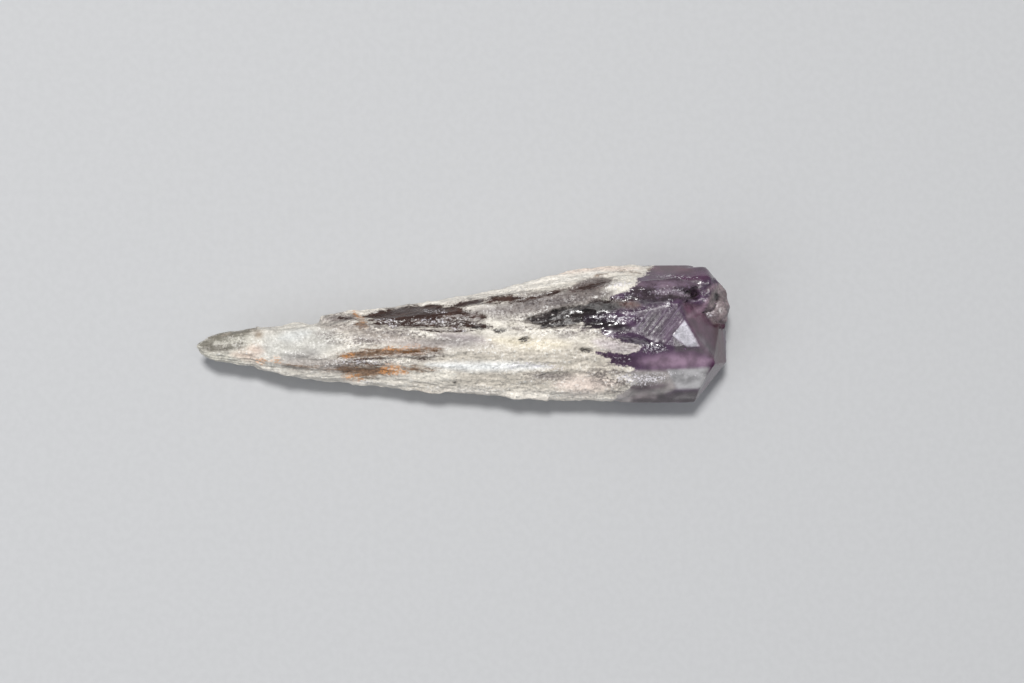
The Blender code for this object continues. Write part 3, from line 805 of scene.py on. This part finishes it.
    def toned(self, ground: tuple, tones: tuple) -> np.ndarray:
        """Lays patches of colour over a ground colour.

        Args:
            ground: The colour where no patch lies.
            tones: The patches, the later ones over the earlier ones.

        Returns:
            One colour for each place, with a fourth value of 1.
        """
        height = self.height()
        colour = np.tile(np.array(ground), (len(height), 1))
        for tone in tones:
            depth = tone.patch.depth(self.places[:, :2], height)
            share = smooth_step(-tone.blur, tone.blur, depth)[:, None]
            colour = colour * (1.0 - share) + tone.colour() * share
        return np.column_stack([colour, np.ones(len(colour))])


class Board:
    """A material's node tree, with short ways to add the nodes that a finish needs."""

    def __init__(self, name: str) -> None:
        """Starts a material with its Principled shader and its output.

        Args:
            name: The material's name.
        """
        self.material = bpy.data.materials.new(name)
        self.material.use_nodes = True
        self.tree = self.material.node_tree
        self.shader = self.tree.nodes["Principled BSDF"]
        self.output = self.tree.nodes["Material Output"]

    def node(self, kind: str, **settings: object) -> bpy.types.Node:
        """Adds a node.

        Args:
            kind: The node's type.
            settings: Its options.

        Returns:
            The node.
        """
        made = self.tree.nodes.new(kind)
        for key, value in settings.items():
            setattr(made, key, value)
        return made

    def plug(self, socket: Socket, value: object) -> None:
        """Links a socket to another, or sets its plain value.

        Args:
            socket: The socket to fill.
            value: Another node's socket, a number, a vector or a colour.
        """
        if isinstance(value, Socket):
            self.tree.links.new(value, socket)
        elif isinstance(value, tuple) and len(value) == 3 and socket.type == "RGBA":
            socket.default_value = (*value, 1.0)
        else:
            socket.default_value = value

    def fill(self, made: bpy.types.Node, values: dict, output: object = 0) -> Socket:
        """Fills a node's inputs.

        Args:
            made: The node.
            values: A value or a socket for each input's name or number.
            output: The name or number of the output that is wanted.

        Returns:
            The output.
        """
        for key, value in values.items():
            self.plug(made.inputs[key], value)
        return made.outputs[output]

    def attribute(self, name: str, output: str = "Fac") -> Socket:
        """Reads an attribute of the mesh."""
        return self.node("ShaderNodeAttribute", attribute_name=name).outputs[output]

    def depth(self, mark: Mark) -> Socket:
        """Reads how deep inside a marking a place is."""
        return self.attribute(mark.value)

    def calc(self, operation: str, *values: object) -> Socket:
        """Adds a sum of up to three values."""
        return self.fill(self.node("ShaderNodeMath", operation=operation), dict(enumerate(values)))

    def product(self, a: object, b: object) -> Socket:
        """Multiplies two values."""
        return self.calc("MULTIPLY", a, b)

    def largest(self, *values: object) -> Socket:
        """Takes the largest of several values."""
        return functools.reduce(lambda a, b: self.calc("MAXIMUM", a, b), values)

    def vector(self, operation: str, *values: object) -> Socket:
        """Adds a sum of up to three vectors."""
        made = self.node("ShaderNodeVectorMath", operation=operation)
        return self.fill(made, dict(enumerate(values)))

    def noise(
        self, vector: Socket, scale: float, detail: float = 3.0, roughness: float = 0.5,
    ) -> Socket:
        """Adds a noise that is read at a vector, with values around 0.5."""
        values = {"Vector": vector, "Scale": scale, "Detail": detail, "Roughness": roughness}
        return self.fill(self.node("ShaderNodeTexNoise"), values)

    def cells(self, vector: Socket, pitch: float, output: str) -> Socket:
        """Adds a pattern of cells, so many to the millimetre."""
        made = self.node("ShaderNodeTexVoronoi", feature="F1")
        return self.fill(made, {"Vector": vector, "Scale": pitch}, output)

    def step(self, value: object, low: float, high: float, to: tuple = (0.0, 1.0)) -> Socket:
        """Maps a value smoothly from low and high to two new values."""
        made = self.node("ShaderNodeMapRange", interpolation_type="SMOOTHSTEP")
        return self.fill(made, dict(enumerate((value, low, high, *to))))

    def mix(self, share: object, a: object, b: object) -> Socket:
        """Mixes two colours."""
        made = self.node("ShaderNodeMix", data_type="RGBA")
        return self.fill(made, {0: share, 6: a, 7: b}, 2)

    def blend(self, share: object, a: object, b: object) -> Socket:
        """Mixes two numbers."""
        return self.fill(self.node("ShaderNodeMix", data_type="FLOAT"), {0: share, 2: a, 3: b})

    def times(self, colour: object, factor: object) -> Socket:
        """Makes a colour brighter or darker by a factor."""
        made = self.node("ShaderNodeVectorMath", operation="SCALE")
        return self.fill(made, {0: colour, "Scale": factor})

    def shade(self, colour: object, pattern: Socket, low: float, high: float, to: tuple) -> Socket:
        """Makes a colour brighter and darker along a pattern, by two factors."""
        return self.times(colour, self.step(pattern, low, high, to))


@dataclass(frozen=True)
class StoneFinish:
    """Cream crust, smoky and black windows, iron stains and clear violet quartz in one finish."""

    smoky: tuple = linear(56, 38, 33)
    smoky_light: tuple = linear(78, 56, 48)
    murk: tuple = linear(133, 124, 120)
    murk_dark: tuple = linear(66, 57, 56)
    root_grey: tuple = linear(126, 121, 108)
    black: tuple = linear(30, 25, 25)
    rust: tuple = linear(112, 80, 52)
    ochre: tuple = linear(212, 146, 84)
    # White of the painted glints on the crust's ridges
    white: tuple = linear(244, 242, 238)
    # White of the frost grains, also of the painted glints in rows and windows
    frost: tuple = linear(226, 222, 228)
    line_tint: tuple = linear(176, 156, 184)
    rod_shade: tuple = linear(58, 38, 56)
    streak_shades: tuple = (0.92, 1.05)
    fibre_shades: tuple = (0.92, 1.04)
    # Painted shade of the crust, from its ridges to its deepest clefts
    painted_cleft_shade: tuple = (1.0, 0.88)
    rust_shades: tuple = (0.5, 1.4)
    cloud_shades: tuple = (0.7, 1.3)
    strand_shades: tuple = (0.7, 3.2)
    grainy_shades: tuple = (0.6, 1.25)
    satin_shades: tuple = (0.72, 1.12)
    thin_murk: float = 0.86
    even_murk: float = 0.12
    dot_share: float = 0.8
    mottle_share: float = 0.75
    # How strongly the painted glints show on the crust's ridges
    ridge_glint_share: float = 0.7
    # How strongly the painted glint lines show in the windows
    painted_glint_lines: float = 0.45
    rust_share: float = 0.92
    ochre_share: float = 0.85
    frost_and_glint_share: float = 0.82
    line_share: float = 0.42
    rod_light: float = 0.55
    rod_dark: float = 0.6
    crust_rough: tuple = (0.5, 0.28)
    smoky_rough: tuple = (0.17, 0.3)
    head_rough: tuple = (0.12, 0.24)
    black_rough: float = 0.34
    knob_rough: float = 0.36
    lined_rough: float = 0.15
    matt_rough: float = 0.5
    satin_rough: float = 0.4
    frost_rough: float = 0.38
    head_clear: float = 0.5
    root_clear: float = 0.2
    smoky_clear: float = 0.12
    glass_tint: tuple = (0.60, 0.40, 0.64)
    glass_density: float = 140.0
    index: float = 1.54
    grain_pitch: float = 2.4
    glitter_pitch: float = 3.2
    glitter_tilt: float = 0.55
    bump_height: float = 0.00015

    def make(self) -> bpy.types.Material:
        """Builds the material.

        Returns:
            The stone's material.
        """
        board = StoneBoard(self)
        for layer in (board.crust, board.windows, board.stains, board.quartz, board.hollows):
            layer()
        board.fill(board.shader, {
            "Base Color": board.colour, "Roughness": board.gloss(), "IOR": self.index,
            "Transmission Weight": board.clarity(), "Normal": board.relief(),
        })
        glass = board.node("ShaderNodeVolumeAbsorption")
        volume = board.fill(glass, {"Color": self.glass_tint, "Density": self.glass_density})
        board.plug(board.output.inputs["Volume"], volume)
        return board.material


class StoneBoard(Board):
    """The stone's node tree, with one method for each layer of its looks."""

    def __init__(self, finish: StoneFinish) -> None:
        """Starts the material, and adds the noises and the shares that its layers have in common.

        Args:
            finish: The colours and numbers of the finish.
        """
        super().__init__("amethyst_stone")
        self.finish = finish
        grain = self.attribute("grain", "Vector")
        place = self.stretch(self.node("ShaderNodeTexCoord").outputs["Object"], (1.0 / MM,) * 3)
        self.place = place
        self.clouds = self.noise(place, 0.5, 4.0, 0.55)
        self.specks = self.noise(place, 2.6, 3.0, 0.68)
        self.lumps = self.noise(place, 0.75, 5.0, 0.62)
        self.grains = self.noise(place, 2.7, 4.0, 0.78)
        long_rag = self.noise(self.stretch(grain, (0.34, 1.0, 1.0)), 0.95, 7.0, 0.74)
        self.rag = self.blend(0.3, long_rag, self.specks)

        # Towards the root the crust is sugary instead of fibrous
        sugar = self.ragged(Mark.SUGAR)
        streaks = self.noise(self.stretch(grain, (0.2, 1.0, 1.0)), 1.05, 5.0, 0.64)
        fibres = self.noise(self.stretch(grain, (0.38, 1.0, 1.0)), 3.1, 4.0, 0.64)
        self.streaks = self.blend(sugar, self.blend(0.25, streaks, self.lumps), self.lumps)
        self.fibres = self.blend(sugar, self.blend(0.4, fibres, self.grains), self.grains)
        self.broken = self.blend(0.5, self.specks, self.fibres)

        # How much each marking has of a place
        self.root = self.ragged(Mark.ROOT)
        self.smoky = self.ragged(Mark.SMOKY)
        self.head = self.ragged(Mark.HEAD)
        self.black = self.product(self.ragged(Mark.BLACK), self.step(self.broken, 0.62, 0.54))
        self.frost_and_glints = self.frost_and_glint_cover()
        self.matt = self.ragged(Mark.MATT)
        self.knob = self.even(Mark.KNOB)
        self.grainy = self.largest(self.matt, self.knob)
        self.satin = self.even(Mark.SATIN)
        self.rods = self.even(Mark.RODS)
        self.lined = self.product(self.even(Mark.STRIAE), finish.line_share)
        self.lines = self.growth_lines()
        self.dark = self.largest(self.product(self.black, 0.9), self.smoky)

        self.colour = self.attribute("crust_tone", "Color")

    def stretch(self, vector: Socket, scale: tuple) -> Socket:
        """Multiplies a vector by three factors."""
        return self.vector("MULTIPLY", vector, scale)

    def ragged(self, mark: Mark) -> Socket:
        """The share of a marking at a place, with an edge made ragged by a noise.

        Args:
            mark: The kind of marking.

        Returns:
            A share from 0 to 1.
        """
        spread, soft = RAGGED_EDGES[mark]
        away = self.calc("SUBTRACT", self.rag, 0.5)
        shift = self.calc("MULTIPLY_ADD", away, spread, self.depth(mark))
        return self.step(shift, -soft, soft)

    def even(self, mark: Mark) -> Socket:
        """The share of a marking at a place, with an even edge."""
        return self.step(self.depth(mark), *EVEN_EDGES[mark])

    def frost_and_glint_cover(self) -> Socket:
        """The share of frost at a place, which lies as separate grains, some of them painted glints.

        Returns:
            A share from 0 to 1.
        """
        depth = self.depth(Mark.FROST)
        cover = self.calc("MULTIPLY_ADD", self.calc("SUBTRACT", self.grains, 0.55), 8.0, depth)
        frost_and_glints = self.product(self.step(cover, -0.1, 0.4), self.finish.frost_and_glint_share)
        return self.product(frost_and_glints, self.step(depth, -0.8, -0.1))

    def growth_lines(self) -> Socket:
        """Fine slanting lines, as a noise that is long in their direction.

        Returns:
            A noise around 0.5.
        """
        turned = self.fill(self.node("ShaderNodeVectorRotate", rotation_type="Z_AXIS"), {
            "Vector": self.place, "Angle": -math.radians(STRIAE_ANGLE),
        })
        return self.noise(self.stretch(turned, (0.10, 3.0, 0.3)), 1.0, 3.0, 0.6)

    def lay(self, share: Socket, colour: object) -> None:
        """Lays a colour over the colour so far."""
        self.colour = self.mix(share, self.colour, colour)

    def crust(self) -> None:
        """Lays the crust: cream fibres, grey where they are thin, painted shade in the clefts and
        painted glints on the ridges.
        """
        finish = self.finish
        tone = self.shade(self.colour, self.streaks, 0.3, 0.7, finish.streak_shades)
        self.colour = self.shade(tone, self.fibres, 0.3, 0.7, finish.fibre_shades)
        thin = self.calc("MULTIPLY_ADD", self.ragged(Mark.THIN), finish.thin_murk, finish.even_murk)
        mixed = self.blend(0.55, self.streaks, self.fibres)
        self.lay(self.product(thin, self.step(mixed, 0.57, 0.44)), finish.murk)
        dots = self.product(thin, self.step(self.specks, 0.46, 0.36))
        self.lay(self.product(dots, finish.dot_share), finish.murk_dark)
        mottle = self.product(self.root, self.step(self.lumps, 0.56, 0.46))
        self.lay(self.product(mottle, finish.mottle_share), finish.root_grey)
        # Painted shade: the crust is darkened in its clefts, where the relief lies low
        low = self.attribute("low")
        self.colour = self.shade(self.colour, low, 0.1, 1.1, finish.painted_cleft_shade)
        # Painted glints: white specks on the ridges of the crust
        bright = self.product(self.step(self.specks, 0.54, 0.64), self.step(low, 0.3, -0.4))
        self.lay(self.product(bright, finish.ridge_glint_share), finish.white)

    def windows(self) -> None:
        """Lays the smoky windows, with paler streaks and a few painted glint lines in them."""
        finish = self.finish
        smoke = self.mix(self.step(self.streaks, 0.48, 0.62), finish.smoky, finish.smoky_light)
        # Painted glints: white lines along the fibres in the windows
        white = self.product(self.step(self.fibres, 0.64, 0.72), finish.painted_glint_lines)
        self.lay(self.smoky, self.mix(white, smoke, finish.frost))

    def stains(self) -> None:
        """Lays the iron stains, rusty along the fibres and ochre in grains."""
        finish = self.finish
        rust = self.shade(finish.rust, self.fibres, 0.35, 0.65, finish.rust_shades)
        self.lay(self.product(self.ragged(Mark.RUST), finish.rust_share), rust)
        ochre = self.product(self.ragged(Mark.OCHRE), finish.ochre_share)
        self.lay(self.product(ochre, self.step(self.broken, 0.42, 0.56)), finish.ochre)

    def quartz(self) -> None:
        """Lays the head: clear violet quartz, cloudy inside, with growth lines and rods on top."""
        finish = self.finish
        tone = self.attribute("head_tone", "Color")
        quartz = self.shade(tone, self.clouds, 0.32, 0.68, finish.cloud_shades)
        lines = self.product(self.lined, self.step(self.lines, 0.5, 0.62))
        light = self.product(self.rods, self.step(self.fibres, 0.5, 0.62))
        dark = self.product(self.rods, self.step(self.fibres, 0.46, 0.36))
        for share, tint in (
            (lines, finish.line_tint), (self.product(light, finish.rod_light), finish.line_tint),
            (self.product(dark, finish.rod_dark), finish.rod_shade),
        ):
            quartz = self.mix(share, quartz, tint)
        self.lay(self.head, quartz)

    def hollows(self) -> None:
        """Lays black hollows and painted shadow, frost and painted glints, band and knob grain,
        satin face.
        """
        finish = self.finish
        self.lay(self.black, self.shade(finish.black, self.fibres, 0.4, 0.62, finish.strand_shades))
        # White frost grains, some of them painted glints
        self.lay(self.frost_and_glints, finish.frost)
        self.lay(self.grainy, self.shade(self.colour, self.broken, 0.4, 0.6, finish.grainy_shades))
        fine = self.noise(self.place, 5.5, 2.0, 0.7)
        self.lay(self.satin, self.shade(self.colour, fine, 0.38, 0.6, finish.satin_shades))

    def gloss(self) -> Socket:
        """How rough each kind of surface is.

        Returns:
            The roughness.
        """
        finish = self.finish
        lined = self.step(self.depth(Mark.STRIAE), 0.0, 0.6)
        rough = self.step(self.streaks, 0.3, 0.7, finish.crust_rough)
        for share, value in (
            (self.smoky, self.step(self.streaks, 0.4, 0.6, finish.smoky_rough)),
            (self.black, finish.black_rough),
            (self.head, self.step(self.clouds, 0.3, 0.7, finish.head_rough)),
            (self.knob, finish.knob_rough), (lined, finish.lined_rough),
            (self.matt, finish.matt_rough), (self.satin, finish.satin_rough),
            (self.frost_and_glints, finish.frost_rough),
        ):
            rough = self.blend(share, rough, value)
        return rough

    def clarity(self) -> Socket:
        """How much light passes: most in the head, none in frost, black and the satin face.

        Returns:
            A share from 0 to 1.
        """
        finish = self.finish
        clear = self.largest(
            self.product(self.head, finish.head_clear), self.product(self.root, finish.root_clear),
            self.product(self.smoky, finish.smoky_clear),
        )
        solid = self.largest(self.frost_and_glints, self.black, self.satin)
        return self.product(clear, self.calc("SUBTRACT", 1.0, solid))

    def relief(self) -> Socket:
        """Fine grains and fibres that stand out of the crust, and growth lines out of the head.

        Returns:
            The shading direction.
        """
        finish = self.finish
        place = self.stretch(self.place, (0.7, 1.0, 1.0))
        relief = self.product(self.cells(place, finish.grain_pitch, "Distance"), -0.35)
        relief = self.calc("MULTIPLY_ADD", self.fibres, 0.45, relief)
        relief = self.calc("MULTIPLY_ADD", self.specks, 0.45, relief)
        strength = self.largest(
            self.step(self.head, 0.0, 1.0, (1.0, 0.04)), self.frost_and_glints,
            self.product(self.largest(self.rods, self.grainy), 0.55),
            self.product(self.satin, 0.25),
        )
        muted = self.product(strength, self.step(self.dark, 0.0, 1.0, (1.0, 0.8)))
        relief = self.product(relief, muted)
        relief = self.calc("MULTIPLY_ADD", self.product(self.lines, self.lined), 0.05, relief)
        glints = self.blend(
            self.dark, self.largest(self.frost_and_glints, strength), self.product(self.frost_and_glints, 0.6),
        )
        return self.fill(self.node("ShaderNodeBump"), {
            "Strength": 1.0, "Distance": finish.bump_height, "Height": relief,
            "Normal": self.glitter(glints),
        })

    def glitter(self, share: Socket) -> Socket:
        """Tilts each small crystal grain its own way, so that some of them catch the light.

        Args:
            share: How strongly the grains are tilted at a place.

        Returns:
            The shading direction.
        """
        turn = self.cells(self.place, self.finish.glitter_pitch, "Color")
        tilt = self.vector("SUBTRACT", turn, (0.5, 0.5, 0.5))
        tilt = self.times(tilt, self.finish.glitter_tilt)
        weight = self.fill(self.node("ShaderNodeCombineXYZ"), {0: share, 1: share, 2: share})
        straight = self.node("ShaderNodeNewGeometry").outputs["Normal"]
        return self.vector("NORMALIZE", self.vector("MULTIPLY_ADD", tilt, weight, straight))


@dataclass(frozen=True)
class Lamp:
    """A square soft lamp that faces the stone, with its place and size in metres."""

    name: str
    place: tuple
    size: float
    power: float
    colour: tuple


@dataclass
class Studio:
    """A pale floor, soft lamps and a camera at the photograph's angle, in metres."""

    lamps: tuple = (
        Lamp("key", (-0.16, 0.26, 1.07), 0.17, 10.4, (1.0, 0.99, 0.97)),
        Lamp("face", (0.30, -0.029, 1.13), 0.11, 0.4, (1.0, 1.0, 1.0)),
        Lamp("fill", (-0.68, -0.42, 0.68), 0.60, 2.5, (0.95, 0.97, 1.0)),
    )
    floor_half: float = 1.3
    floor_colour: tuple = linear(190, 191, 193)
    floor_pitch: float = 900.0
    floor_shades: tuple = (0.97, 1.0)
    floor_rough: float = 0.85
    sky_colour: tuple = (0.94, 0.96, 1.0)
    sky_strength: float = 0.26
    lens: float = 85.0
    sensor: float = 36.0
    nearest: float = 0.01
    target: tuple = (0.00745, -0.00145, 0.0075)
    towards_camera: tuple = (-0.115, -0.075, 1.0)
    distance: float = 0.3944

    def build(self) -> None:
        """Builds the floor, the lamps and the camera."""
        self.lay_floor()
        self.light_sky()
        for lamp in self.lamps:
            self.hang(lamp)
        self.place_camera()
        bpy.context.scene.view_settings.view_transform = "Standard"

    def lay_floor(self) -> None:
        """Lays a matt pale floor with a faint grain."""
        bm = bmesh.new()
        bmesh.ops.create_grid(bm, x_segments=1, y_segments=1, size=self.floor_half)
        mesh = bpy.data.meshes.new("floor")
        bm.to_mesh(mesh)
        bm.free()
        floor = bpy.data.objects.new("floor", mesh)
        bpy.context.scene.collection.objects.link(floor)
        board = Board("floor")
        place = board.node("ShaderNodeTexCoord").outputs["Object"]
        grain = board.noise(place, self.floor_pitch, 2.0)
        colour = board.shade(self.floor_colour, grain, 0.3, 0.7, self.floor_shades)
        board.fill(board.shader, {"Base Color": colour, "Roughness": self.floor_rough})
        mesh.materials.append(board.material)

    def light_sky(self) -> None:
        """Lights the room evenly from all around."""
        world = bpy.data.worlds.new("room")
        world.use_nodes = True
        background = world.node_tree.nodes["Background"]
        background.inputs["Color"].default_value = (*self.sky_colour, 1.0)
        background.inputs["Strength"].default_value = self.sky_strength
        bpy.context.scene.world = world

    def hang(self, lamp: Lamp) -> None:
        """Hangs a lamp.

        Args:
            lamp: The lamp.
        """
        data = bpy.data.lights.new(lamp.name, "AREA")
        data.size = lamp.size
        data.energy = lamp.power
        data.color = lamp.colour
        hung = bpy.data.objects.new(lamp.name, data)
        hung.location = lamp.place
        back = Vector(lamp.place) - Vector(self.target)
        hung.rotation_euler = back.to_track_quat("Z", "Y").to_euler()
        bpy.context.scene.collection.objects.link(hung)

    def place_camera(self) -> None:
        """Sets up the camera of the photograph."""
        data = bpy.data.cameras.new("camera")
        data.lens = self.lens
        data.sensor_width = self.sensor
        data.clip_start = self.nearest
        camera = bpy.data.objects.new("camera", data)
        back = Vector(self.towards_camera).normalized()
        right = Vector((0.0, 1.0, 0.0)).cross(back).normalized()
        turn = Matrix((right, back.cross(right), back)).transposed().to_4x4()
        place = Vector(self.target) + back * self.distance
        camera.matrix_world = Matrix.Translation(place) @ turn
        bpy.context.scene.collection.objects.link(camera)
        bpy.context.scene.camera = camera


def main() -> None:
    """Builds the stone, dresses it and sets up the studio."""
    logging.basicConfig(level=logging.INFO, format="%(name)s: %(message)s")
    stone = Stone().build()
    stone.data.materials.append(StoneFinish().make())
    log.info("stone dressed")
    Studio().build()
    log.info("studio ready")


if __name__ == "__main__":
    main()
